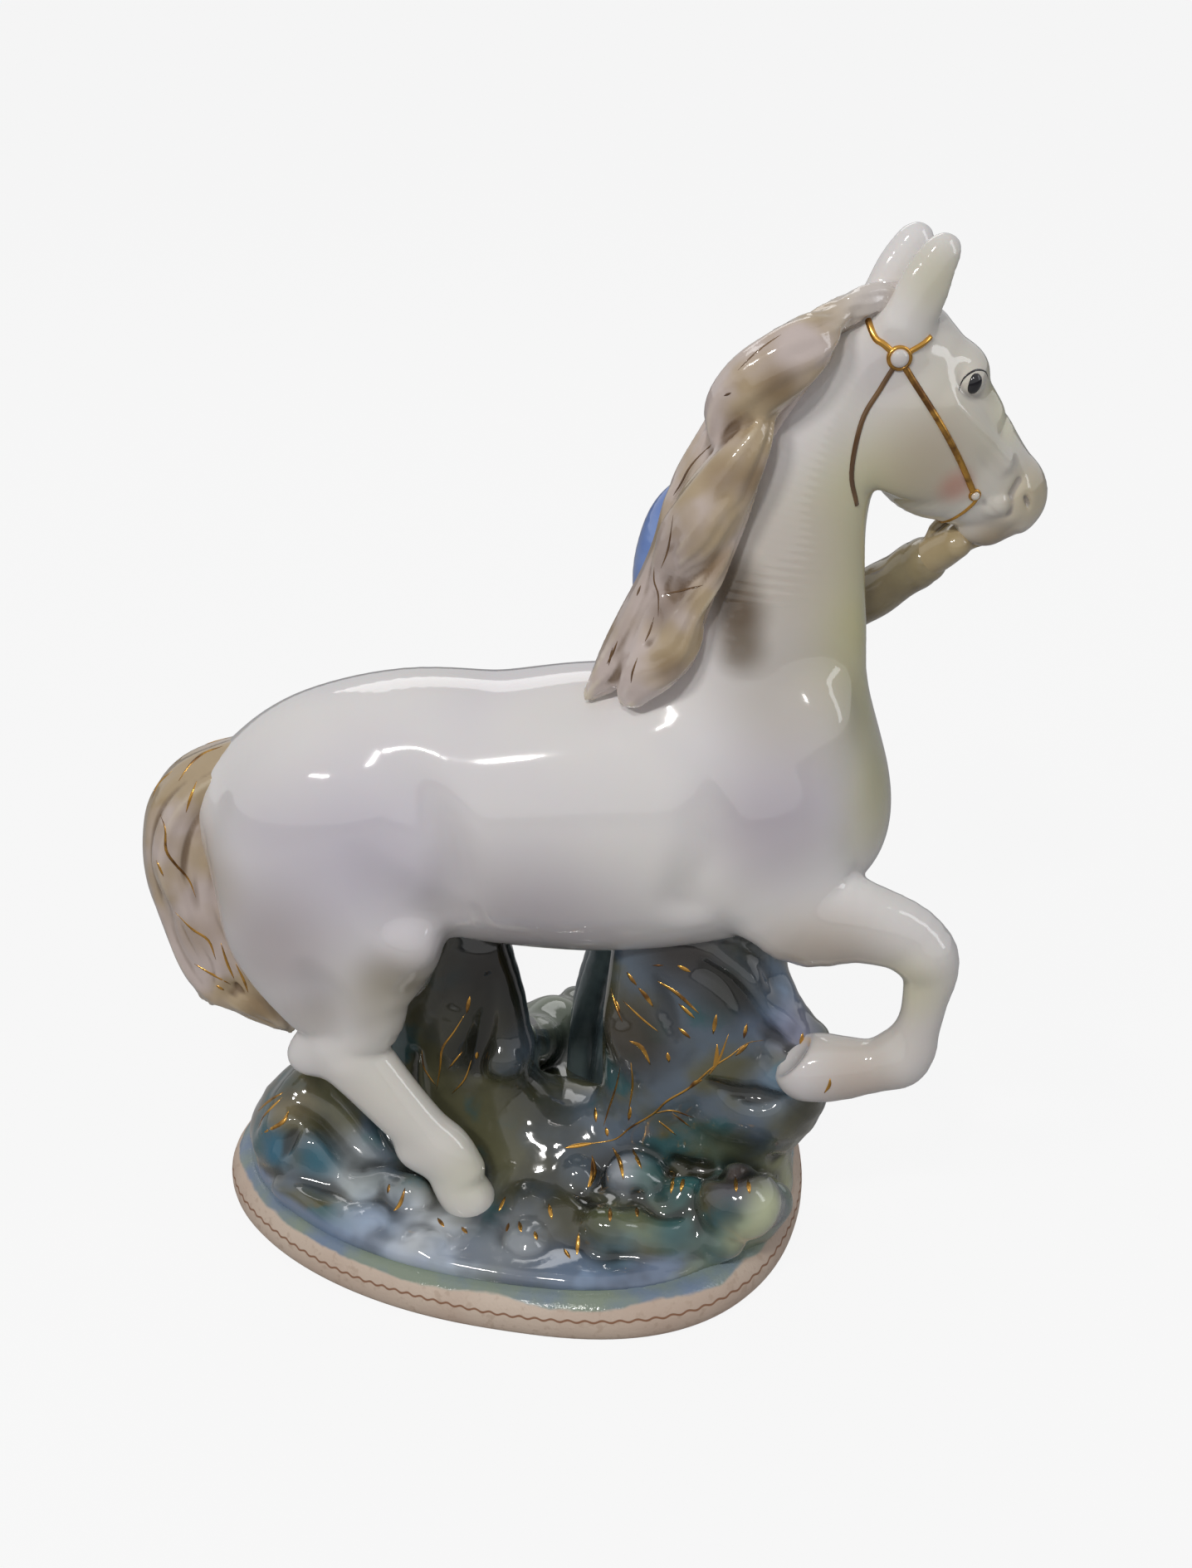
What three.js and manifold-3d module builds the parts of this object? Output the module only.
// Porcelain figurine: a woman steadying a trotting horse, on a rocky oval plinth.
// Millimetres, +Z up, the horse walks towards +X and the woman stands on its +Y side.
// Every piece is a slip-cast part as it is luted together before firing, and the pieces keep
// the seam clearance from each other.
import * as THREE from 'three';
import { mergeVertices } from 'three/addons/utils/BufferGeometryUtils.js';
import Module from 'manifold-3d';

const wasm = await Module();
wasm.setup();

// Driving dimensions: fit
const SEAM = 0.32;              // clearance between two luted pieces
const SLIVER = 0.02;            // points nearer than this count as one

// Driving dimensions: plinth and ground
const PLINTH_LENGTH = 176;
const PLINTH_DEPTH = 160;
const PLINTH_CENTRE_Y = 14;
const PLINTH_HEIGHT = 12;
const PLINTH_SHOULDER = 6;      // how far the top edge lies inside the foot
const PLINTH_BLUNTNESS = 0.25;  // how much wider the oval is at the horse's head end
const FOOT_WIDTH = 9;           // width of the unglazed ring that the figurine stands on
const FOOT_RECESS = 6;          // height of the hollow inside that ring
const GROUND_EDGE = 1.6;        // thickness of the ground where it meets the plinth's shoulder
const GROUND_CROWN = 5;         // rise of the ground towards the middle
const HOCK_BANK_RISE = 27;      // the bank behind the near hock
const FAR_BANK_RISE = 13;       // the hump seen between the two rocks
const BOULDER_RADIUS = 8;

// Driving dimensions: horse
const HORSE_YAW = -7;           // degrees, the chest turned a little to the front
const HORSE_Y = -8;
const RUMP_X = -84;
const BODY_LENGTH = 182;
const BARREL_WIDTH = 62;
const BARREL_HEIGHT = 80;
const BELLY_HEIGHT = 95.5;      // from the table to the lowest point of the belly
const NECK_RISE = 122;          // from the middle of the chest to the poll
const NECK_BASE_DEPTH = 70;
const NECK_TOP_DEPTH = 29;
const NECK_WIDTH = 36;
const HEAD_LENGTH = 70.5;
const HEAD_DEPTH = 38.5;
const HEAD_WIDTH = 25;
const HEAD_TURN = 21;           // degrees, towards the woman
const EAR_LENGTH = 25;
const EAR_WIDTH = 12.4;
const LEG_SPREAD = 18;          // each leg's distance from the horse's middle plane
const THIGH_DEPTH = 58;
const HOCK_DEPTH = 27;
const HIND_CANNON_DEPTH = 19;
const FOREARM_DEPTH = 23;
const FORE_CANNON_DEPTH = 11.8;
const HOOF_WIDTH = 18;
const TAIL_THICKNESS = 23;
const MANE_LOCK_WIDTH = 15;
const EYE_DIAMETER = 5;
const STRAP_WIDTH = 2.4;
const ROSETTE_DIAMETER = 5;

// Driving dimensions: woman
const WOMAN_X = 56;
const WOMAN_Y = 49;
const WAIST_HEIGHT = 152;
const SHOULDER_HEIGHT = 197;
const WOMAN_HEIGHT = 236;       // table to crown
const HEM_LENGTH = 60;
const HEM_DEPTH = 50;
const WAIST_WIDTH = 23;
const SHOULDER_WIDTH = 37;
const SKIRT_FOLDS = 11;
const SLEEVE_DIAMETER = 14;
const WRIST_DIAMETER = 8.4;
const FACE_WIDTH = 19;

// Surfaces: colour, roughness
const finish = (color, roughness, metalness = 0) =>
  new THREE.MeshStandardMaterial({ color, roughness, metalness });
const finishes = {
  biscuit: () => finish(0xd9c7b2, 0.75),
  groundGlaze: () => finish(0x6f93a8, 0.12),
  rockGlaze: () => finish(0x5c7183, 0.12),
  horseGlaze: () => finish(0xefeae6, 0.1),
  hairGlaze: () => finish(0xb9a98f, 0.14),
  gilding: () => finish(0xb98a3c, 0.3, 0.9),
  black: () => finish(0x16161a, 0.1),
  skirtGlaze: () => finish(0x66777f, 0.14),
  bodiceGlaze: () => finish(0x6f93d2, 0.14),
  sleeveGlaze: () => finish(0xcfc8a6, 0.16),
  skin: () => finish(0xf1dfd2, 0.2),
  brownGlaze: () => finish(0x6d5138, 0.18),
};

// Frames: the horse's head turns in the horse's frame, and both stand in the figurine's
const radians = THREE.MathUtils.degToRad;
const mix = THREE.MathUtils.lerp;
const figurine = new THREE.Group();
const baseFrame = new THREE.Group();
const horseFrame = new THREE.Group();
const headFrame = new THREE.Group();
const womanFrame = new THREE.Group();
figurine.add(baseFrame, horseFrame, womanFrame);
horseFrame.add(headFrame);
horseFrame.position.set(0, HORSE_Y, 0);
horseFrame.rotation.z = radians(HORSE_YAW);
womanFrame.position.set(WOMAN_X, WOMAN_Y, 0);

/** The point of the trunk at a share of its length and height, in the horse's frame. */
const trunk = (along, up) => [RUMP_X + along * BODY_LENGTH, BELLY_HEIGHT + up * BARREL_HEIGHT];
const [chestX, chestZ] = trunk(0.79, 0.62);
const POLL_X = chestX + 40;
const POLL_Z = chestZ + NECK_RISE;
const POLL_SIDE = 12.2;
headFrame.position.set(POLL_X, POLL_SIDE, POLL_Z);
headFrame.rotation.z = radians(HEAD_TURN);
figurine.updateMatrixWorld(true);

/** A point of one frame, [x, y, z], in another frame. */
function pointIn(point, from, to) {
  const moved = to.worldToLocal(from.localToWorld(new THREE.Vector3(...point)));
  return moved.toArray();
}

// Solids: join and cut

/** A solid in the figurine's frame from a closed geometry of one frame. */
function solidOf(geometry, frame) {
  const bare = geometry.clone().applyMatrix4(frame.matrixWorld);
  bare.deleteAttribute('normal');
  bare.deleteAttribute('uv');
  const merged = mergeVertices(bare, 1e-4);
  return new wasm.Manifold(new wasm.Mesh({
    numProp: 3,
    vertProperties: new Float32Array(merged.attributes.position.array),
    triVerts: new Uint32Array(merged.index.array),
  }));
}

/** The geometry of a solid, in the figurine's frame, with the points of its slivers drawn together. */
function geometryOf(solid) {
  const mesh = solid.getMesh();
  const geometry = new THREE.BufferGeometry();
  geometry.setAttribute('position', new THREE.BufferAttribute(mesh.vertProperties, 3));
  geometry.setIndex(new THREE.BufferAttribute(mesh.triVerts, 1));
  const welded = mergeVertices(geometry, SLIVER);
  const faces = new Map();
  for (let start = 0; start < welded.index.count; start += 3) {
    const corners = [0, 1, 2].map((corner) => welded.index.getX(start + corner));
    const key = corners.slice().sort().join();
    if (faces.has(key)) faces.delete(key);    // a face and its back make a fold, and both go
    else if (new Set(corners).size === 3) faces.set(key, corners);
  }
  welded.setIndex([...faces.values()].flat());
  return welded;
}

const join = (...solids) => solids.reduce((sum, solid) => sum.add(solid));

/** A shape that knows its body and the room that its neighbours leave for it. */
function shape(make) {
  return { body: make(0), room: make(SEAM) };
}

/** A solid cut back from the rooms of the pieces that were there before it. */
const seat = (solid, ...neighbours) =>
  neighbours.reduce((rest, neighbour) => rest.subtract(neighbour.room), solid);

/** The largest body of a solid, without the crumbs that a cut leaves. */
function mainBody(solid) {
  const bodies = solid.decompose();
  return bodies.reduce((best, body) => (body.volume() > best.volume() ? body : best));
}

/** Adds one named piece to a frame. */
function addPiece(frame, name, solid, material) {
  const geometry = geometryOf(mainBody(solid)).applyMatrix4(frame.matrixWorld.clone().invert());
  geometry.computeBoundingBox();
  const seatPoint = geometry.boundingBox.getCenter(new THREE.Vector3());
  geometry.translate(-seatPoint.x, -seatPoint.y, -seatPoint.z);
  geometry.computeVertexNormals();
  const mesh = new THREE.Mesh(geometry, material);
  mesh.name = name;
  mesh.position.copy(seatPoint);
  frame.add(mesh);
  return mesh;
}

// Lofts

const ALONG_Y = new THREE.Vector3(0, 1, 0);
const ALONG_X = new THREE.Vector3(1, 0, 0);
const FULL_DOME = [35, 68];     // degrees up a round end at which it has a ring
const PLAIN_DOME = [50];

/**
 * A round-ended body through stations. A station is [x, y, z, half width, half depth]: the half
 * width lies along the side direction and the half depth across it and the path. A root or tip
 * with a roundness of 0 ends flat. The folds ripple the outline, more so towards the root.
 */
function tube(stations, options = {}) {
  const {
    side = ALONG_Y, sides = 12, steps = 1, grow = 0, rootRound = 0.8, tipRound = 0.8, folds = 0, ripple = 0,
    dome = FULL_DOME,
  } = options;
  const centres = new THREE.CatmullRomCurve3(
    stations.map(([x, y, z]) => new THREE.Vector3(x, y, z)), false, 'catmullrom');
  const girths = new THREE.CatmullRomCurve3(
    stations.map(([, , , width, depth]) => new THREE.Vector3(width, depth, 0)), false, 'catmullrom');
  const rings = [];
  const count = (stations.length - 1) * steps;
  for (let index = 0; index <= count; index += 1) {
    const girth = girths.getPoint(index / count);
    rings.push({
      centre: centres.getPoint(index / count),
      tangent: centres.getTangent(index / count),
      width: girth.x + grow,
      depth: girth.y + grow,
      wave: ripple * (1 - index / count),
    });
  }
  const first = rings[0];
  const last = rings[count];
  rings.unshift(...domeRings(first, -1, rootRound, dome).reverse());
  rings.push(...domeRings(last, 1, tipRound, dome));
  const positions = [];
  for (const { centre, tangent, width, depth, wave } of rings) {
    const across = side.clone().addScaledVector(tangent, -side.dot(tangent)).normalize();
    const over = tangent.clone().cross(across);
    for (let turn = 0; turn < sides; turn += 1) {
      const angle = (turn / sides) * 2 * Math.PI;
      const swell = 1 + wave * Math.cos(folds * angle);
      const point = centre.clone()
        .addScaledVector(across, Math.cos(angle) * width * swell)
        .addScaledVector(over, Math.sin(angle) * depth * swell);
      positions.push(...point.toArray());
    }
  }
  return closedRings(positions, rings.length, sides);
}

/** The shrinking rings that round off an end of a tube, none for a flat end. */
function domeRings(end, way, round, dome) {
  const reach = Math.min(end.width, end.depth) * round;
  return (round ? dome : []).map((angle) => ({
    ...end,
    centre: end.centre.clone().addScaledVector(end.tangent, way * reach * Math.sin(radians(angle))),
    width: end.width * Math.cos(radians(angle)),
    depth: end.depth * Math.cos(radians(angle)),
  }));
}

/** The closed skin over rings of points, with a flat fan on the first and the last ring. */
function closedRings(positions, ringCount, sides) {
  const faces = [];
  for (let ring = 0; ring < ringCount - 1; ring += 1) {
    for (let turn = 0; turn < sides; turn += 1) {
      const here = ring * sides + turn;
      const next = ring * sides + ((turn + 1) % sides);
      faces.push(here, next, next + sides, here, next + sides, here + sides);
    }
  }
  const top = (ringCount - 1) * sides;
  for (let turn = 1; turn < sides - 1; turn += 1) {
    faces.push(0, turn + 1, turn);
    faces.push(top, top + turn, top + turn + 1);
  }
  const geometry = new THREE.BufferGeometry();
  geometry.setAttribute('position', new THREE.Float32BufferAttribute(positions, 3));
  geometry.setIndex(faces);
  return geometry;
}

/** A shape made of tubes in one frame, joined into one body. */
function tubes(frame, runs, options = {}) {
  return shape((grow) => join(...runs.map((run) => solidOf(tube(run, { ...options, grow }), frame))));
}

// Plinth: an egg-shaped oval, with a rounded side and a hollow underside

const OVAL_CORNER = 2.4;
const OVAL_SIDES = 28;

/** The oval's point at an angle, drawn in by an inset. */
function ovalPoint(angle, inset) {
  const cosine = Math.cos(angle);
  const share = Math.sign(cosine) * Math.abs(cosine) ** (2 / OVAL_CORNER);
  const width = 1 + PLINTH_BLUNTNESS * share;
  return [
    share * (PLINTH_LENGTH / 2 - inset),
    PLINTH_CENTRE_Y + Math.sin(angle) * (PLINTH_DEPTH / 2 - inset) * width,
  ];
}

/** A closed body from a profile of [inset, height] pairs that goes round the oval. */
function ovalBody(profile, heightAt = null) {
  const positions = [];
  for (const [inset, height] of profile) {
    for (let turn = 0; turn < OVAL_SIDES; turn += 1) {
      const [x, y] = ovalPoint((turn / OVAL_SIDES) * 2 * Math.PI, inset);
      positions.push(x, y, heightAt ? heightAt(x, y, height) : height);
    }
  }
  return closedRings(positions, profile.length, OVAL_SIDES);
}

const plinthSide = ovalBody([
  [1.4, 0], [0.3, 1.6], [0, PLINTH_HEIGHT * 0.4], [1.2, PLINTH_HEIGHT * 0.7],
  [PLINTH_SHOULDER * 0.6, PLINTH_HEIGHT * 0.93], [PLINTH_SHOULDER, PLINTH_HEIGHT],
]);
const footHollow = ovalBody([
  [FOOT_WIDTH, -1], [FOOT_WIDTH, FOOT_RECESS * 0.6], [FOOT_WIDTH + 2, FOOT_RECESS],
]);
const plinthSolid = solidOf(plinthSide, baseFrame).subtract(solidOf(footHollow, baseFrame));

// Ground: a low crown with two banks

const banks = [
  { x: -60, y: 6, rise: HOCK_BANK_RISE, spanX: 22, spanY: 24 },
  { x: 12, y: 66, rise: FAR_BANK_RISE, spanX: 16, spanY: 17 },
];
const groundBase = PLINTH_HEIGHT + SEAM;

/** The height of the ground's surface at a place on the plinth. */
function groundHeight(x, y) {
  const along = x / (PLINTH_LENGTH / 2);
  const across = (y - PLINTH_CENTRE_Y) / (PLINTH_DEPTH / 2);
  const inside = Math.max(0, 1 - along * along - across * across);
  const crown = GROUND_EDGE + GROUND_CROWN * Math.sqrt(inside);
  const bankRise = banks.reduce((sum, bank) => {
    const reach = ((x - bank.x) / bank.spanX) ** 2 + ((y - bank.y) / bank.spanY) ** 2;
    return sum + bank.rise * Math.exp(-reach);
  }, 0);
  return groundBase + crown + bankRise * Math.min(1, inside * 4);
}

// Boulders: where each stands, and its size as a share of the boulder radius
const boulders = [
  [-72, -1, 0.9], [-59, -10, 1.15], [-46, -24, 0.85], [-30, -26, 0.95], [-43, -36, 0.8], [-20, -44, 0.75],
  [6, -44, 0.8], [20, -27, 1.1], [36, -31, 1.4], [29, -43, 1.1], [44, -42, 1.1], [57, -36, 1.1],
  [61, -47, 0.9], [75, -31, 1],
];

const groundInsets = [0.4, 8, 18, 30, 44, 60];
const underGround = { room: solidOf(ovalBody([[-SEAM, -PLINTH_LENGTH], [-SEAM, groundBase]]), baseFrame) };
const ground = shape((grow) => {
  const rings = groundInsets.map((inset) => [PLINTH_SHOULDER + inset, 1]);
  const surface = ovalBody([[PLINTH_SHOULDER + groundInsets[0], 0], ...rings],
    (x, y, top) => (top ? groundHeight(x, y) + grow : groundBase - grow));
  const stones = boulders.map(([x, y, size]) => {
    const radius = BOULDER_RADIUS * size;
    const height = groundHeight(x, y);
    const stone = tube([
      [x - radius * 0.35, y, height, radius * 0.8, radius * 0.7],
      [x + radius * 0.35, y + 1, height + radius * 0.15, radius * 0.8, radius * 0.7],
    ], { sides: 6, grow, rootRound: 1, tipRound: 1, dome: PLAIN_DOME });
    return solidOf(stone, baseFrame);
  });
  return join(solidOf(surface, baseFrame), ...stones).subtract(underGround.room);
});

// Horse: trunk

const halfBarrel = BARREL_WIDTH / 2;
const halfDepth = BARREL_HEIGHT / 2;
const trunkRun = [
  [0.09, 0.40, 0.66, 0.66], [0.19, 0.45, 0.87, 0.88], [0.32, 0.515, 0.94, 0.94], [0.46, 0.5, 1, 0.985],
  [0.6, 0.52, 1, 1.04], [0.74, 0.55, 0.96, 1], [0.86, 0.57, 0.84, 0.85], [0.925, 0.59, 0.66, 0.66],
].map(([along, up, width, depth]) => {
  const [x, z] = trunk(along, up);
  return [x, 0, z, width * halfBarrel, depth * halfDepth];
});
const torso = tubes(horseFrame, [trunkRun], { sides: 16, steps: 2 });

// Horse: hind legs, each a thigh, a cannon and a hoof

/** A hind leg on one side (-1 near, 1 far), with its toe shifted along the ground. */
function hindLeg(sideSign, toeX, spread) {
  const [hipX, hipZ] = trunk(0.175, 0.42);
  const across = sideSign * LEG_SPREAD;
  const toeSide = sideSign * spread;
  const [groundX, groundY] = pointIn([toeX, toeSide, 0], horseFrame, figurine);
  const toeZ = groundHeight(groundX, groundY);
  const up = (share) => mix(toeZ, hipZ, share);
  const from = (share) => mix(toeX, hipX, share);
  const out = (share) => mix(toeSide, across, share);
  return tubes(horseFrame, [[
    [hipX - 1, across * 0.8, hipZ - 3, THIGH_DEPTH * 0.31, THIGH_DEPTH * 0.49],
    [hipX + 3, across * 0.94, up(0.78), THIGH_DEPTH * 0.29, THIGH_DEPTH * 0.5],
    [hipX + 6, across, up(0.61), THIGH_DEPTH * 0.21, THIGH_DEPTH * 0.35],
    [hipX + 5, out(0.9), up(0.52), HOCK_DEPTH * 0.38, HOCK_DEPTH * 0.53],
    [from(0.92), out(0.8), up(0.45), HOCK_DEPTH * 0.36, HOCK_DEPTH * 0.52],
    [from(0.62), out(0.55), up(0.335), HIND_CANNON_DEPTH * 0.4, HIND_CANNON_DEPTH * 0.51],
    [from(0.28), out(0.25), up(0.2), HOOF_WIDTH * 0.43, HIND_CANNON_DEPTH * 0.54],
    [from(0.1), out(0.1), up(0.115), HOOF_WIDTH * 0.4, HIND_CANNON_DEPTH * 0.46],
    [toeX, toeSide, toeZ + 5.5, HOOF_WIDTH * 0.48, HIND_CANNON_DEPTH * 0.44],
    [toeX + 1, toeSide, toeZ + 1.5, HOOF_WIDTH * 0.44, HIND_CANNON_DEPTH * 0.4],
  ]], { sides: 11, rootRound: 0.5, tipRound: 0.3, dome: PLAIN_DOME });
}
const nearHind = hindLeg(-1, -9.5, 21);
const farHind = hindLeg(1, -16, 22);

// Horse: forelegs, the near one raised with its hoof on the rock and the far one standing

const [elbowX, elbowZ] = trunk(0.91, 0.27);
const shoulderBlade = (side) => [elbowX - 22, side * LEG_SPREAD * 0.66, elbowZ + 42, 10, 17];
const shoulderPoint = (side) => [elbowX - 11, side * LEG_SPREAD * 0.88, elbowZ + 20, 15.5, 22];
const nearReach = -LEG_SPREAD;
const nearFore = tubes(horseFrame, [[
  shoulderBlade(-1), shoulderPoint(-1),
  [elbowX + 1, nearReach * 0.95, elbowZ + 1, 11.5, 16],
  [elbowX + 16, nearReach, elbowZ - 1, 9.6, FOREARM_DEPTH * 0.5],
  [elbowX + 32, nearReach, elbowZ - 6.5, 7.6, FOREARM_DEPTH * 0.42],
  [elbowX + 36, nearReach, elbowZ - 14, 6.2, FOREARM_DEPTH * 0.3],
  [elbowX + 35, nearReach, elbowZ - 24, 5.8, FORE_CANNON_DEPTH / 2],
  [elbowX + 34, nearReach, elbowZ - 33, 5.8, FORE_CANNON_DEPTH / 2],
  [elbowX + 31, nearReach, elbowZ - 43, 7, HOOF_WIDTH * 0.42],
  [elbowX + 21, nearReach, elbowZ - 47, 7.6, HOOF_WIDTH * 0.46],
  [elbowX + 12, nearReach, elbowZ - 47.5, HOOF_WIDTH * 0.48, HOOF_WIDTH * 0.56],
  [elbowX + 3, nearReach, elbowZ - 47.5, HOOF_WIDTH * 0.5, HOOF_WIDTH * 0.56],
]], { sides: 11, rootRound: 0.6, tipRound: 0.3, dome: PLAIN_DOME });
const raisedHoof = [elbowX + 4, nearReach, elbowZ - 47.5];
const farHoof = [elbowX - 17, LEG_SPREAD * 1.15];
const farHoofGround = groundHeight(...pointIn([...farHoof, 0], horseFrame, figurine));
const farUp = (share) => mix(farHoofGround, elbowZ, share);
const farFore = tubes(horseFrame, [[
  shoulderBlade(1), shoulderPoint(1),
  [elbowX - 9, LEG_SPREAD * 0.9, farUp(0.96), 11, 14],
  [elbowX - 13, LEG_SPREAD, farUp(0.7), 8.4, FOREARM_DEPTH * 0.42],
  [elbowX - 14, LEG_SPREAD * 1.1, farUp(0.5), 7.2, FOREARM_DEPTH * 0.38],
  [elbowX - 15, LEG_SPREAD * 1.15, farUp(0.34), 5.6, FORE_CANNON_DEPTH / 2],
  [elbowX - 16, LEG_SPREAD * 1.15, farUp(0.2), 6.4, FORE_CANNON_DEPTH * 0.58],
  [...farHoof, farHoofGround + 8, HOOF_WIDTH * 0.45, HOOF_WIDTH * 0.48],
  [...farHoof, farHoofGround + 1.5, HOOF_WIDTH * 0.5, HOOF_WIDTH * 0.54],
]], { sides: 10, rootRound: 0.6, tipRound: 0.3, dome: PLAIN_DOME });

// Horse: neck, which leans to the poll and towards the woman

const neckRun = [
  [0, 0, -0.04, 1.28, 1], [0.1, 0.04, 0.16, 1.14, 0.94], [0.18, 0.16, 0.35, 1, 0.84],
  [0.24, 0.3, 0.52, 0.9, 0.73], [0.33, 0.5, 0.66, 0.84, 0.63], [0.48, 0.7, 0.8, 0.77, 0.56],
  [0.7, 0.9, 0.92, 0.72, 0.47],
].map(([lean, turn, rise, width, depth]) => [
  mix(chestX, POLL_X, lean), mix(0, POLL_SIDE, turn), mix(chestZ, POLL_Z, rise),
  (width * NECK_WIDTH) / 2, (depth * NECK_BASE_DEPTH) / 2,
]);
neckRun.push([mix(chestX, POLL_X, 0.93), POLL_SIDE, POLL_Z - 1, NECK_WIDTH * 0.33, NECK_TOP_DEPTH * 0.45]);
const neckOptions = { sides: 12 };
const neck = tubes(horseFrame, [neckRun], neckOptions);

// Horse: head, from the poll down to the muzzle, in the head's own frame

/** The point of the head at a share of its length down the face and of its depth across it. */
function faceAt(down, across) {
  const slope = radians(-48.5);
  const length = down * HEAD_LENGTH;
  const depth = across * HEAD_DEPTH;
  return [
    Math.cos(slope) * length - Math.sin(slope) * depth,
    Math.sin(slope) * length + Math.cos(slope) * depth,
  ];
}
const headRun = [
  [0.03, -0.03, 0.8, 0.76], [0.17, -0.11, 0.94, 0.9], [0.41, -0.23, 1, 1], [0.55, -0.2, 0.88, 0.87],
  [0.73, -0.16, 0.7, 0.69], [0.84, -0.11, 0.68, 0.62], [0.91, -0.11, 0.56, 0.45],
].map(([down, across, width, depth]) => {
  const [x, z] = faceAt(down, across);
  return [x, 0, z, (width * HEAD_WIDTH) / 2, (depth * HEAD_DEPTH) / 2];
});
const skullOptions = { sides: 14 };
const skull = tubes(headFrame, [headRun], skullOptions);

/** A small closed ball stretched along one direction, for nostrils, eyes and bosses. */
function bead(frame, centre, radius, grow = 0, stretch = [1, 1, 1]) {
  const ball = new THREE.SphereGeometry(radius + grow, 8, 6);
  ball.scale(...stretch);
  ball.translate(...centre);
  return solidOf(ball, frame);
}
/** The opening of a nostril on one side of the muzzle. */
const nostril = (side) => {
  const [x, z] = faceAt(0.86, 0.04);
  return bead(headFrame, [x, side * HEAD_WIDTH * 0.29, z], 2, 0, [1.1, 1, 1.4]);
};

// Horse: ears, each a leaf with a hollow that faces forward

function ear(side) {
  const halfWidth = EAR_WIDTH / 2;
  const leaf = (ahead, thickness, width) => [
    [ahead - 2.5, side * 6.5, 2, thickness, width * 0.8],
    [ahead + 2, side * 7.2, EAR_LENGTH * 0.5, thickness, width],
    [ahead + 7, side * 7.2, EAR_LENGTH * 0.84, thickness * 0.86, width * 0.92],
    [ahead + 9.5, side * 7, EAR_LENGTH, thickness * 0.5, width * 0.5],
  ];
  return shape((grow) => {
    const body = solidOf(tube(leaf(0, 4.2, halfWidth), { grow, sides: 9, rootRound: 0 }), headFrame);
    const scoop = tube(leaf(halfWidth * 0.95, 2.4, halfWidth * 0.55).slice(1), { sides: 6 });
    return grow ? body : body.subtract(solidOf(scoop, headFrame));
  });
}
const nearEar = ear(-1);
const farEar = ear(1);

// Horse: mane, forelock and tail, each made of overlapping wavy locks

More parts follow.
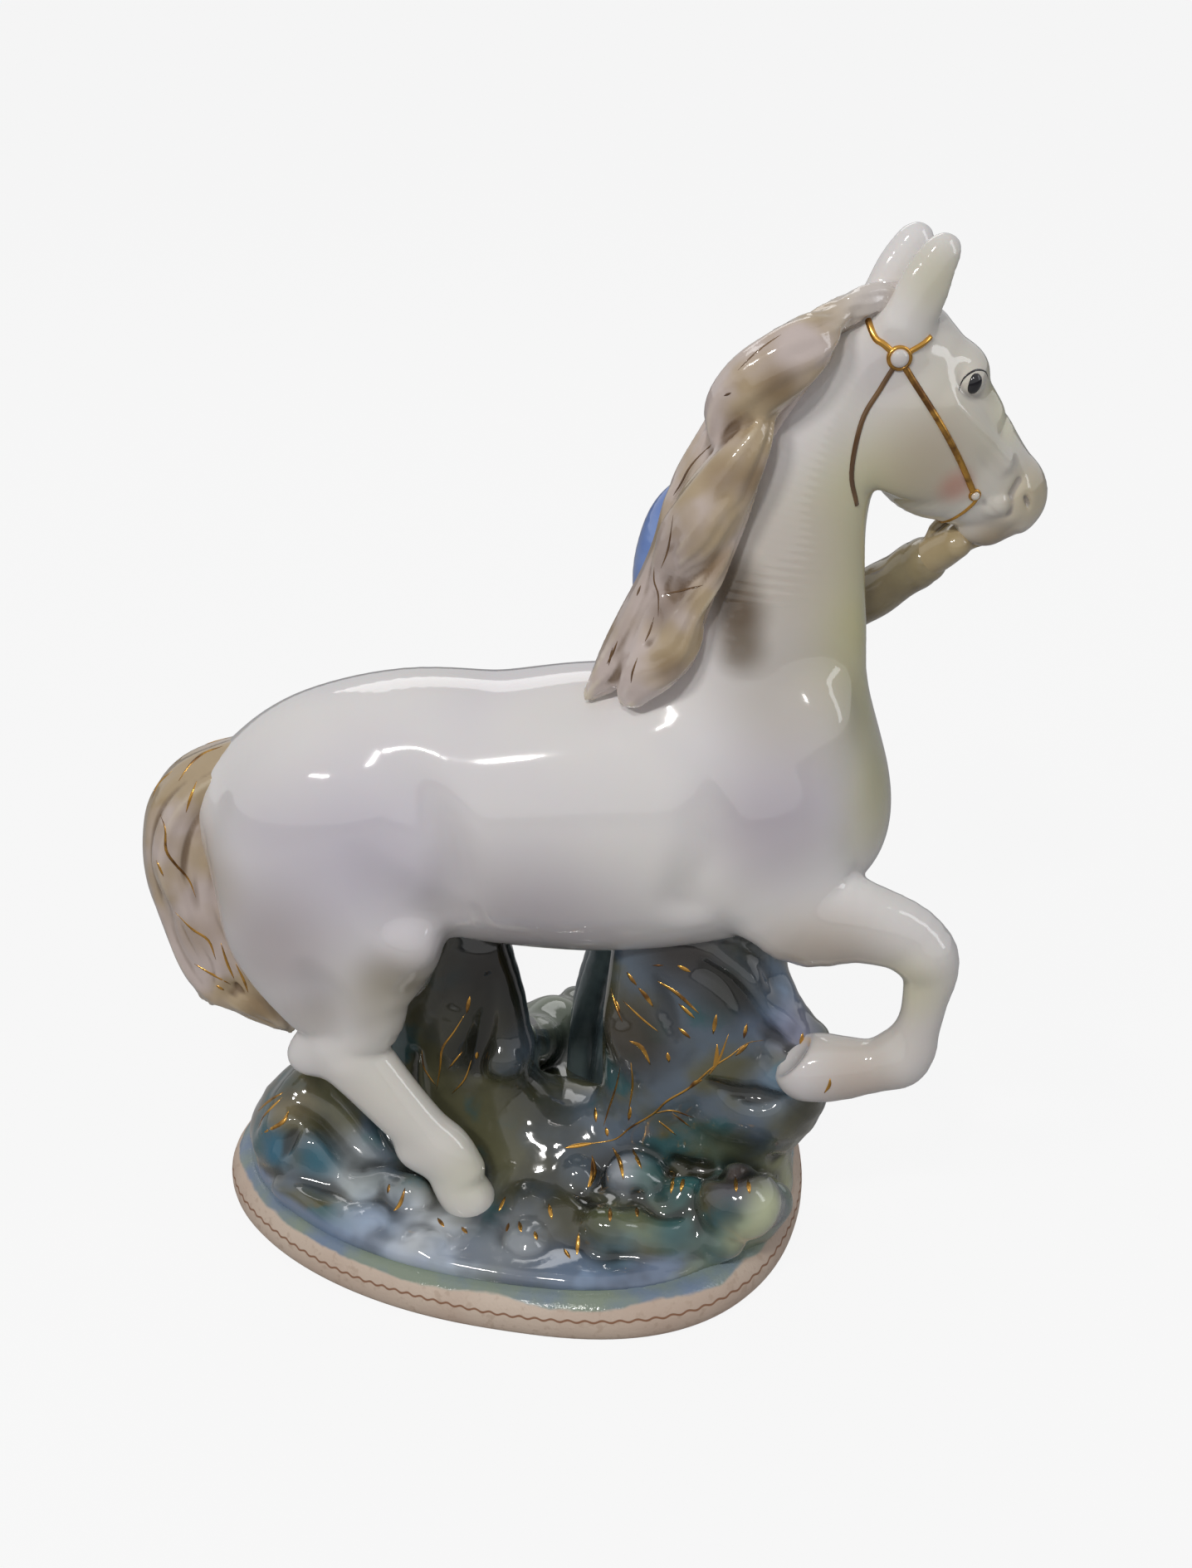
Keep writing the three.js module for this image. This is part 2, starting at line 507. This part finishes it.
/** A point off the neck: share up it, then half depths behind its middle and half widths to the near side. */
function neckAt(rise, behind, aside) {
  const height = mix(chestZ, POLL_Z, rise);
  const above = neckRun.findIndex((station) => station[2] > height);
  const upper = above > 0 ? above : neckRun.length - 1;
  const low = neckRun[upper - 1];
  const high = neckRun[upper];
  const share = Math.min(1, (height - low[2]) / (high[2] - low[2]));
  const [x, y, , width, depth] = low.map((value, index) => mix(value, high[index], share));
  return [x - behind * depth, y - aside * width, height];
}
const maneLocks = [
  [[1, 1, 0.7, 0.8, 0.6], [0.93, 1.3, 0.9, 0.8, 0.95], [0.82, 0.9, 1, 0.8, 1.2], [0.66, 0.75, 0.9, 0.8, 1.25],
    [0.5, 0.8, 0.85, 0.8, 1.1], [0.34, 0.85, 0.9, 0.7, 0.8]],
  [[1.02, 1.31, 0.19, 0.67, 0.53], [0.96, 1.55, 0.05, 0.93, 0.8], [0.87, 1.23, -0.08, 0.93, 0.93],
    [0.76, 1.1, -0.08, 0.93, 0.93], [0.65, 1.01, -0.14, 0.93, 0.93], [0.54, 0.95, -0.12, 0.93, 0.93],
    [0.43, 0.99, 0, 0.8, 0.8], [0.35, 1.12, 0.11, 0.53, 0.53]],
  [[0.86, 1.3, 0.73, 0.47, 0.47], [0.81, 1.33, 0.71, 0.67, 0.59], [0.75, 1.28, 0.67, 0.8, 0.72],
    [0.67, 1.19, 0.62, 0.88, 0.83], [0.59, 1.09, 0.56, 0.93, 0.88], [0.5, 1, 0.58, 0.99, 0.93],
    [0.42, 1.04, 0.68, 0.99, 1.01], [0.35, 1.13, 0.78, 0.88, 0.93], [0.29, 1.25, 0.83, 0.59, 0.61],
    [0.25, 1.37, 0.81, 0.2, 0.21]],
  [[0.51, 0.9, 0.83, 0.53, 0.53], [0.44, 0.93, 0.96, 0.72, 0.75], [0.37, 0.94, 1.02, 0.75, 0.77],
    [0.31, 0.96, 1.03, 0.59, 0.61], [0.27, 0.98, 0.99, 0.23, 0.24]],
  [[0.5, 0.83, 0.96, 0.53, 0.53], [0.44, 0.65, 1.08, 0.77, 0.83], [0.38, 0.66, 1.14, 0.85, 0.93],
    [0.33, 0.78, 1.13, 0.8, 0.83], [0.28, 0.89, 1.08, 0.37, 0.4]],
  [[0.72, 0.42, 1.25, 0.27, 0.27], [0.66, 0.47, 1.32, 0.45, 0.43], [0.58, 0.46, 1.31, 0.48, 0.47],
    [0.51, 0.45, 1.25, 0.48, 0.48], [0.43, 0.47, 1.23, 0.51, 0.51], [0.36, 0.6, 1.19, 0.56, 0.56],
    [0.3, 0.75, 1.14, 0.45, 0.48], [0.26, 0.89, 1.09, 0.19, 0.19]],
  [[0.87, 0.86, 1.46, 0.21, 0.24], [0.82, 0.74, 1.56, 0.56, 0.64], [0.75, 0.84, 1.52, 0.75, 0.93],
    [0.68, 0.92, 1.39, 0.85, 1.09], [0.61, 0.86, 1.25, 0.85, 1.09], [0.55, 0.82, 1.11, 0.72, 0.88],
    [0.5, 0.85, 0.97, 0.35, 0.4]],
  [[1.08, 0.62, 0.86, 0.45, 0.4], [1.06, 1, 1.11, 0.61, 0.51], [1.02, 1.45, 1.55, 0.83, 0.85],
    [0.97, 1.7, 1.72, 0.96, 1.01], [0.93, 1.66, 1.68, 0.91, 0.96], [0.88, 1.53, 1.52, 0.67, 0.69],
    [0.83, 1.27, 1.32, 0.43, 0.43], [0.79, 1.07, 1.2, 0.16, 0.16]],
];
const mane = tubes(horseFrame, maneLocks.map((lock) => lock.map(([rise, behind, aside, width, depth]) => [
  ...neckAt(rise, behind, aside), (width * MANE_LOCK_WIDTH) / 2, (depth * MANE_LOCK_WIDTH) / 2,
])), { sides: 7, dome: PLAIN_DOME });

const forelock = tubes(headFrame, [
  [[-4.5, 0, 7, 4.4, 3.6], [0, 0, 8, 4.6, 4], [4.5, 0, 7.4, 3.6, 3], [7.5, 0, 5.8, 2.2, 1.8]],
], { sides: 8 });

const [dockX, dockZ] = trunk(0.07, 0.66);
const tailLock = (across, sway, bulk) => [
  [0, 2, 0.5], [-14, -6, 0.72], [-21, -22, 0.95], [-20, -42, 1], [-14, -60, 0.92], [-5, -73, 0.7], [6, -84, 0.34],
].map(([x, z, girth], index) => {
  const wave = Math.sin(index * 1.15 + sway) * 2;
  const radius = (girth * bulk * TAIL_THICKNESS) / 2;
  return [dockX + x + wave, across * girth, dockZ + z, radius * 0.72, radius * 0.86];
});
const tail = tubes(horseFrame, [
  tailLock(-6, 0, 0.82), tailLock(0, 1.6, 1), tailLock(6, 3, 0.82),
], { sides: 8, dome: PLAIN_DOME });

// Horse: halter, raised straps laid on the head's surface

const skins = [
  tube(headRun, skullOptions),
  tube(neckRun, neckOptions).applyMatrix4(headFrame.matrix.clone().invert()),
].map((skin) => new THREE.Mesh(skin, new THREE.MeshStandardMaterial({ side: THREE.DoubleSide })));
const rays = new THREE.Raycaster();

/** The place where a ray comes down on the skin, lifted off it. */
function landing(start, outward, lift) {
  rays.set(start.clone().addScaledVector(outward, HEAD_DEPTH * 0.85), outward.clone().negate());
  return rays.intersectObjects(skins)[0].point.addScaledVector(outward, lift).toArray();
}

/** The skin at [down the face, across it, side], round the head's axis; -1 near, 0 middle, 1 far. */
function aroundHead([down, across, side], lift) {
  const [x, z] = faceAt(down, across);
  const [axisX, axisZ] = faceAt(Math.max(down, 0), -0.15);
  const outward = new THREE.Vector3(x - axisX, (side * HEAD_WIDTH) / 2, z - axisZ).normalize();
  return landing(new THREE.Vector3(axisX, 0, axisZ), outward, lift);
}

/** The skin beside a place of the face, seen square from one side. */
function besideHead([down, across, side], lift) {
  const [x, z] = faceAt(down, across);
  return landing(new THREE.Vector3(x, 0, z), new THREE.Vector3(0, side, 0), lift);
}

const STRAP_STEPS = 3;

/** A strap that follows the skin under a run of places. */
function strap(places, onSkin) {
  const run = [];
  places.slice(1).forEach((place, index) => {
    for (let step = 0; step < STRAP_STEPS; step += 1) {
      run.push(places[index].map((value, axis) => mix(value, place[axis], step / STRAP_STEPS)));
    }
  });
  run.push(places[places.length - 1]);
  const centreLine = run.map((place) => [
    ...onSkin(place, STRAP_WIDTH * 0.22), STRAP_WIDTH / 2, STRAP_WIDTH / 2,
  ]);
  return tubes(headFrame, [centreLine], { sides: 5, dome: PLAIN_DOME });
}
const onOneSide = (side, ...places) => strap(places.map((place) => [...place, side]), besideHead);
/** A strap over places on the near side, then the middle one, then the same places on the far side. */
const allRound = (places, middle) => strap([
  ...places.map((place) => [...place, -1]), [...middle, 0],
  ...places.slice().reverse().map((place) => [...place, 1]),
], aroundHead);
const cheek = [-0.01, -0.11];
const lip = [0.61, -0.3];
const throat = [[0.075, -0.5], [0.17, -0.76], [0.29, -0.88]];
const straps = {
  near_cheek_strap: onOneSide(-1, cheek, [0.29, -0.19], lip),
  far_cheek_strap: onOneSide(1, cheek, [0.29, -0.19], lip),
  near_throat_latch: onOneSide(-1, cheek, ...throat),
  far_throat_latch: onOneSide(1, cheek, ...throat),
  crown_strap: allRound([cheek, [-0.15, -0.12]], [-0.3, 0.02]),
  brow_band: allRound([cheek, [0.02, 0.1]], [0.03, 0.44]),
  chin_strap: allRound([lip, [0.64, -0.42]], [0.66, -0.6]),
};
const mouthGroove = (side) => onOneSide(side, [0.7, -0.28], [0.84, -0.28], [0.93, -0.27]).body;
const rosette = (place, side) => shape((grow) =>
  bead(headFrame, besideHead([...place, side], 0), ROSETTE_DIAMETER / 2, grow, [1, 0.6, 1]));
const rosettes = {
  near_cheek_rosette: rosette(cheek, -1),
  far_cheek_rosette: rosette(cheek, 1),
  near_lip_rosette: rosette(lip, -1),
  far_lip_rosette: rosette(lip, 1),
};
const eyePlace = [0.27, 0.13];
const eye = (side) => shape((grow) =>
  bead(headFrame, besideHead([...eyePlace, side], 0), EYE_DIAMETER / 2, grow, [1, 0.6, 0.8]));
const nearEye = eye(-1);
const farEye = eye(1);

// Rocks: the one under the belly with the raised hoof on it, and the one under the flank

const belly = BELLY_HEIGHT;
const [hoofRestX, hoofRestY, hoofRestZ] = pointIn([raisedHoof[0] - 4, raisedHoof[1] + 6, raisedHoof[2] - 4],
  horseFrame, figurine);
const footing = (x, y) => groundHeight(x, y) - 4;
const rockOptions = { side: ALONG_X, sides: 8, rootRound: 0, tipRound: 0.5, dome: PLAIN_DOME };
const foldY = -28;               // where the drape-like folds of the rock's face lie
const frontRock = tubes(baseFrame, [
  [[54, -11, footing(54, -11), 29, 18], [53, -12, belly * 0.4, 26, 16], [53, -14, belly * 0.66, 26, 16],
    [54, -15, belly * 0.86, 25, 15], [54, -15, belly + 4, 24, 13]],
  [[60, -10, belly * 0.3, 18, 14], [hoofRestX - 8, hoofRestY + 8, hoofRestZ - 16, 14, 13],
    [hoofRestX - 4, hoofRestY + 5, hoofRestZ, 11, 11], [hoofRestX - 10, hoofRestY + 8, hoofRestZ + 14, 8, 9]],
  [[40, -10, footing(40, -10), 10, 12], [37, -13, belly * 0.5, 8, 10], [36, -16, belly * 0.8, 8, 9],
    [39, -16, belly + 2, 8, 8]],
  [[68, -12, footing(68, -12), 13, 12], [70, -16, belly * 0.34, 10, 10], [66, -20, belly * 0.6, 9, 8]],
  [[52, foldY + 2, belly + 2, 6, 5], [61, foldY - 2, belly * 0.95, 6, 5], [68, foldY - 3, belly * 0.87, 6, 5],
    [77, foldY, belly * 0.78, 5, 5], [hoofRestX + 4, foldY + 5, hoofRestZ, 4, 4]],
  [[42, foldY + 1, belly * 0.7, 6, 5], [54, foldY - 2, belly * 0.6, 7, 6], [67, foldY - 3, belly * 0.53, 7, 6],
    [76, foldY + 2, belly * 0.45, 6, 6]],
  [[40, foldY + 2, belly * 0.98, 5, 4], [43, foldY, belly * 0.85, 5, 4], [49, foldY - 1, belly * 0.72, 4, 4]],
  [[54, foldY, belly * 0.4, 8, 8], [65, foldY - 5, belly * 0.36, 9, 8], [75, foldY + 1, belly * 0.36, 7, 8]],
], rockOptions);
const rearStump = tubes(baseFrame, [
  [[-18, 3, footing(-18, 3), 24, 18], [-18, 2, belly * 0.42, 22, 15], [-17, 1, belly * 0.7, 20, 14],
    [-16, 0, belly * 0.95, 15, 12], [-16, 0, belly + 8, 11, 10]],
  [[-5, -4, footing(-5, -4), 8, 9], [-3, -5, belly * 0.42, 7, 9], [-3, -6, belly * 0.7, 8, 8],
    [-8, -6, belly * 0.94, 7, 7]],
  [[-38, -4, footing(-38, -4), 9, 9], [-32, -8, belly * 0.44, 7, 7], [-27, -9, belly * 0.62, 6, 5],
    [-21, -8, belly * 0.78, 5, 5]],
], rockOptions);

// Woman: a long folded skirt, a fitted bodice, two sleeves and hands, a head with pinned-up hair

const toWoman = (point) => pointIn(point, figurine, womanFrame);
const hemX = -11;
const hemZ = groundHeight(WOMAN_X + hemX, WOMAN_Y);
const skirtUp = (share) => mix(hemZ, WAIST_HEIGHT, share);
const skirtRun = [
  [hemX, 1, hemZ - 6, HEM_LENGTH / 2, HEM_DEPTH / 2],
  [hemX + 1, 1, skirtUp(0.14), HEM_LENGTH * 0.475, HEM_DEPTH * 0.49],
  [hemX + 5, 0.5, skirtUp(0.36), HEM_LENGTH * 0.41, HEM_DEPTH * 0.44],
  [hemX + 9, 0, skirtUp(0.62), HEM_LENGTH * 0.34, HEM_DEPTH * 0.37],
  [0, 0, skirtUp(0.84), HEM_LENGTH * 0.26, HEM_DEPTH * 0.32],
  [0, 0, WAIST_HEIGHT, WAIST_WIDTH * 0.5, WAIST_WIDTH * 0.48],
];
const skirt = shape((grow) => solidOf(tube(skirtRun,
  {
    side: ALONG_X, sides: SKIRT_FOLDS * 4, grow, rootRound: 0, tipRound: 0.2, folds: SKIRT_FOLDS, ripple: 0.07,
    dome: PLAIN_DOME,
  }), womanFrame));

const bodyUp = (share) => mix(WAIST_HEIGHT, SHOULDER_HEIGHT, share);
const bodice = tubes(womanFrame, [[
  [0, 0, bodyUp(-0.08), WAIST_WIDTH * 0.49, WAIST_WIDTH * 0.47],
  [-0.5, 0, bodyUp(0.2), WAIST_WIDTH * 0.55, WAIST_WIDTH * 0.54],
  [-2, -0.5, bodyUp(0.6), WAIST_WIDTH * 0.74, SHOULDER_WIDTH * 0.42],
  [-2.5, -1, bodyUp(0.9), WAIST_WIDTH * 0.7, SHOULDER_WIDTH * 0.48],
  [-1, -1.5, bodyUp(1.12), WAIST_WIDTH * 0.5, SHOULDER_WIDTH * 0.3],
  [2, -2, bodyUp(1.22), WAIST_WIDTH * 0.3, WAIST_WIDTH * 0.28],
]], { side: ALONG_X, sides: 14, rootRound: 0, dome: PLAIN_DOME });

const crownRise = WOMAN_HEIGHT - SHOULDER_HEIGHT;
const faceX = 15;
const faceZ = SHOULDER_HEIGHT + crownRise * 0.69;
const headTurn = -3;
const woman = tubes(womanFrame, [
  [[2, -2, SHOULDER_HEIGHT + 6, 5.6, 5.6], [6, headTurn + 0.5, SHOULDER_HEIGHT + 15, 5.2, 5],
    [faceX - 4, headTurn, faceZ - 5, 6.2, 6]],
  [[faceX + 2, headTurn, faceZ - 9.4, 5.4, 5], [faceX + 1, headTurn, faceZ - 4.5, 8.6, 8],
    [faceX, headTurn, faceZ + 1.5, 10, FACE_WIDTH * 0.48], [faceX - 1, headTurn, faceZ + 8, 9.6, FACE_WIDTH * 0.46]],
  [[faceX + 9.4, headTurn, faceZ + 2.4, 1, 1], [faceX + 11.4, headTurn, faceZ - 2.4, 1.3, 1.5]],
], { side: ALONG_X, sides: 11 });
const hair = tubes(womanFrame, [
  [[faceX - 8, headTurn, faceZ - 6, 6, 8.4], [faceX - 5, headTurn, faceZ + 2, 9.4, FACE_WIDTH * 0.58],
    [faceX - 2.5, headTurn, faceZ + 8, 11, FACE_WIDTH * 0.57], [faceX - 2, headTurn, faceZ + 12, 8, 8]],
  [[faceX - 13, headTurn, faceZ - 8, 4.4, 5.4], [faceX - 13, headTurn, faceZ - 4, 5, 6]],
], { side: ALONG_X, sides: 9, rootRound: 1, tipRound: 1 });

const [chinX, chinZ] = faceAt(0.79, -0.56);
const chin = pointIn([chinX, 2, chinZ], headFrame, womanFrame);
const rightShoulder = [1, -SHOULDER_WIDTH / 2 + 3, SHOULDER_HEIGHT - 2];
const rightElbow = [28, -SHOULDER_WIDTH / 2 - 1, mix(SHOULDER_HEIGHT, chin[2], 0.5) - 32];
const armTo = (share) => rightElbow.map((value, index) => mix(value, chin[index], share));
const sleeve = SLEEVE_DIAMETER / 2;
const wrist = WRIST_DIAMETER / 2;
const rightSleeve = tubes(womanFrame, [[
  [...rightShoulder, sleeve * 1.25, sleeve * 1.25],
  [14, rightShoulder[1] - 2, SHOULDER_HEIGHT - 15, sleeve * 1.1, sleeve * 1.1],
  [...rightElbow, sleeve, sleeve],
  [...armTo(0.35), sleeve * 0.98, sleeve * 0.98],
  [...armTo(0.78), sleeve * 0.92, sleeve * 0.92],
]], { sides: 10 });
const rightHand = tubes(womanFrame, [
  [
    [...armTo(0.74), wrist, wrist], [...armTo(0.9), wrist * 1.3, wrist * 1.1],
    [...armTo(1), wrist * 1.5, wrist], [...armTo(1.12), wrist * 1.2, wrist * 0.8],
  ],
  [
    [...armTo(0.86), wrist * 0.5, wrist * 0.5], [chin[0] - 4, chin[1] + 5, chin[2] + 3, wrist * 0.42, wrist * 0.42],
    [chin[0] + 2, chin[1] + 8, chin[2] + 6, wrist * 0.36, wrist * 0.36],
  ],
], { sides: 8 });

const leftShoulder = [0, SHOULDER_WIDTH / 2 - 4, SHOULDER_HEIGHT - 2];
const leftElbow = [-4, SHOULDER_WIDTH / 2 + 4, bodyUp(0.32)];
const leftWrist = [12, SHOULDER_WIDTH / 2 - 2, bodyUp(-0.12)];
const leftSleeve = tubes(womanFrame, [[
  [...leftShoulder, sleeve * 1.25, sleeve * 1.25],
  [-3, SHOULDER_WIDTH / 2 + 2, bodyUp(0.66), sleeve * 1.1, sleeve * 1.1],
  [...leftElbow, sleeve, sleeve],
  [...leftWrist, sleeve * 0.8, sleeve * 0.8],
]], { sides: 10 });
const leftHand = tubes(womanFrame, [[
  [...leftWrist, wrist, wrist],
  [leftWrist[0] + 7, leftWrist[1] - 2.5, leftWrist[2] - 5, wrist * 1.2, wrist * 0.8],
  [leftWrist[0] + 12, leftWrist[1] - 6, leftWrist[2] - 9, wrist * 0.9, wrist * 0.6],
]], { sides: 8 });

/** A shoe whose toe peeps out under the hem, with its sole on the ground. */
function shoe(side) {
  const across = side * 8;
  const toeX = hemX + HEM_LENGTH / 2;
  const sole = (x) => groundHeight(WOMAN_X + x, WOMAN_Y + across);
  return tubes(womanFrame, [[
    [toeX - 13, across, sole(toeX - 13) + 3, 4, 4],
    [toeX - 3, across, sole(toeX - 3) + 2.4, 4.4, 3.2],
    [toeX + 2, across, sole(toeX + 2) + 1.6, 2.8, 2.2],
  ]], { sides: 8 });
}
const nearShoe = shoe(-1);
const farShoe = shoe(1);

// Assembly: each later piece is cut back from the ones it meets

const horseParts = [torso, nearHind, farHind, nearFore, farFore];
const baseRests = [ground, underGround];
addPiece(baseFrame, 'plinth', plinthSolid, finishes.biscuit());
addPiece(baseFrame, 'ground', seat(ground.body, nearHind, farHind, farFore), finishes.groundGlaze());
addPiece(baseFrame, 'front_rock', seat(frontRock.body, ...horseParts, ...baseRests), finishes.rockGlaze());
addPiece(baseFrame, 'rear_stump', seat(rearStump.body, ...horseParts, ...baseRests), finishes.rockGlaze());

const noGround = [underGround];
addPiece(horseFrame, 'horse_torso', torso.body, finishes.horseGlaze());
addPiece(horseFrame, 'near_hind_leg', seat(nearHind.body, torso, ...noGround), finishes.horseGlaze());
addPiece(horseFrame, 'far_hind_leg', seat(farHind.body, torso, nearHind, ...noGround), finishes.horseGlaze());
addPiece(horseFrame, 'near_foreleg', seat(nearFore.body, torso, neck), finishes.horseGlaze());
addPiece(horseFrame, 'far_foreleg', seat(farFore.body, torso, neck, nearFore, ...noGround), finishes.horseGlaze());
addPiece(horseFrame, 'horse_neck', seat(neck.body, torso, skull), finishes.horseGlaze());
const strapList = Object.values(straps);
addPiece(horseFrame, 'mane', seat(mane.body, neck, torso, skull, nearFore, nearEar, ...strapList),
  finishes.hairGlaze());
addPiece(horseFrame, 'tail', seat(tail.body, torso, nearHind, farHind, ...baseRests), finishes.hairGlaze());

const headSolid = [nostril(-1), nostril(1), mouthGroove(-1), mouthGroove(1)]
  .reduce((rest, hollow) => rest.subtract(hollow), skull.body);
addPiece(headFrame, 'horse_head', seat(headSolid, nearEye, farEye), finishes.horseGlaze());
addPiece(headFrame, 'near_ear', seat(nearEar.body, skull, neck), finishes.horseGlaze());
addPiece(headFrame, 'far_ear', seat(farEar.body, skull, neck), finishes.horseGlaze());
addPiece(headFrame, 'forelock', seat(forelock.body, skull, neck, nearEar, farEar, mane, ...strapList),
  finishes.hairGlaze());
addPiece(headFrame, 'near_eye', nearEye.body, finishes.black());
addPiece(headFrame, 'far_eye', farEye.body, finishes.black());
for (const [name, boss] of Object.entries(rosettes)) {
  addPiece(headFrame, name, seat(boss.body, skull, neck), finishes.horseGlaze());
}
const strapBeds = [skull, neck, nearEar, farEar, ...Object.values(rosettes)];
for (const [name, band] of Object.entries(straps)) {
  addPiece(headFrame, name, seat(band.body, ...strapBeds), finishes.gilding());
}

addPiece(womanFrame, 'skirt', seat(skirt.body, ...horseParts, frontRock, rearStump, ...baseRests),
  finishes.skirtGlaze());
addPiece(womanFrame, 'bodice', seat(bodice.body, skirt, ...horseParts), finishes.bodiceGlaze());
addPiece(womanFrame, 'right_sleeve', seat(rightSleeve.body, bodice, neck, torso, nearFore, farFore),
  finishes.sleeveGlaze());
addPiece(womanFrame, 'left_sleeve', seat(leftSleeve.body, bodice, skirt), finishes.sleeveGlaze());
addPiece(womanFrame, 'right_hand', seat(rightHand.body, rightSleeve, skull, neck), finishes.skin());
addPiece(womanFrame, 'left_hand', seat(leftHand.body, leftSleeve, skirt, bodice), finishes.skin());
addPiece(womanFrame, 'woman_head', seat(woman.body, bodice, rightSleeve, leftSleeve), finishes.skin());
addPiece(womanFrame, 'hair', seat(hair.body, woman, bodice), finishes.brownGlaze());
addPiece(womanFrame, 'near_shoe', seat(nearShoe.body, skirt, ...baseRests), finishes.brownGlaze());
addPiece(womanFrame, 'far_shoe', seat(farShoe.body, skirt, ...baseRests), finishes.brownGlaze());

// Origin: the middle of the bounding box, on the table
const box = new THREE.Box3().setFromObject(figurine);
const middle = box.getCenter(new THREE.Vector3());
figurine.position.set(-middle.x, -middle.y, -box.min.z);

const group = figurine;
export default group;
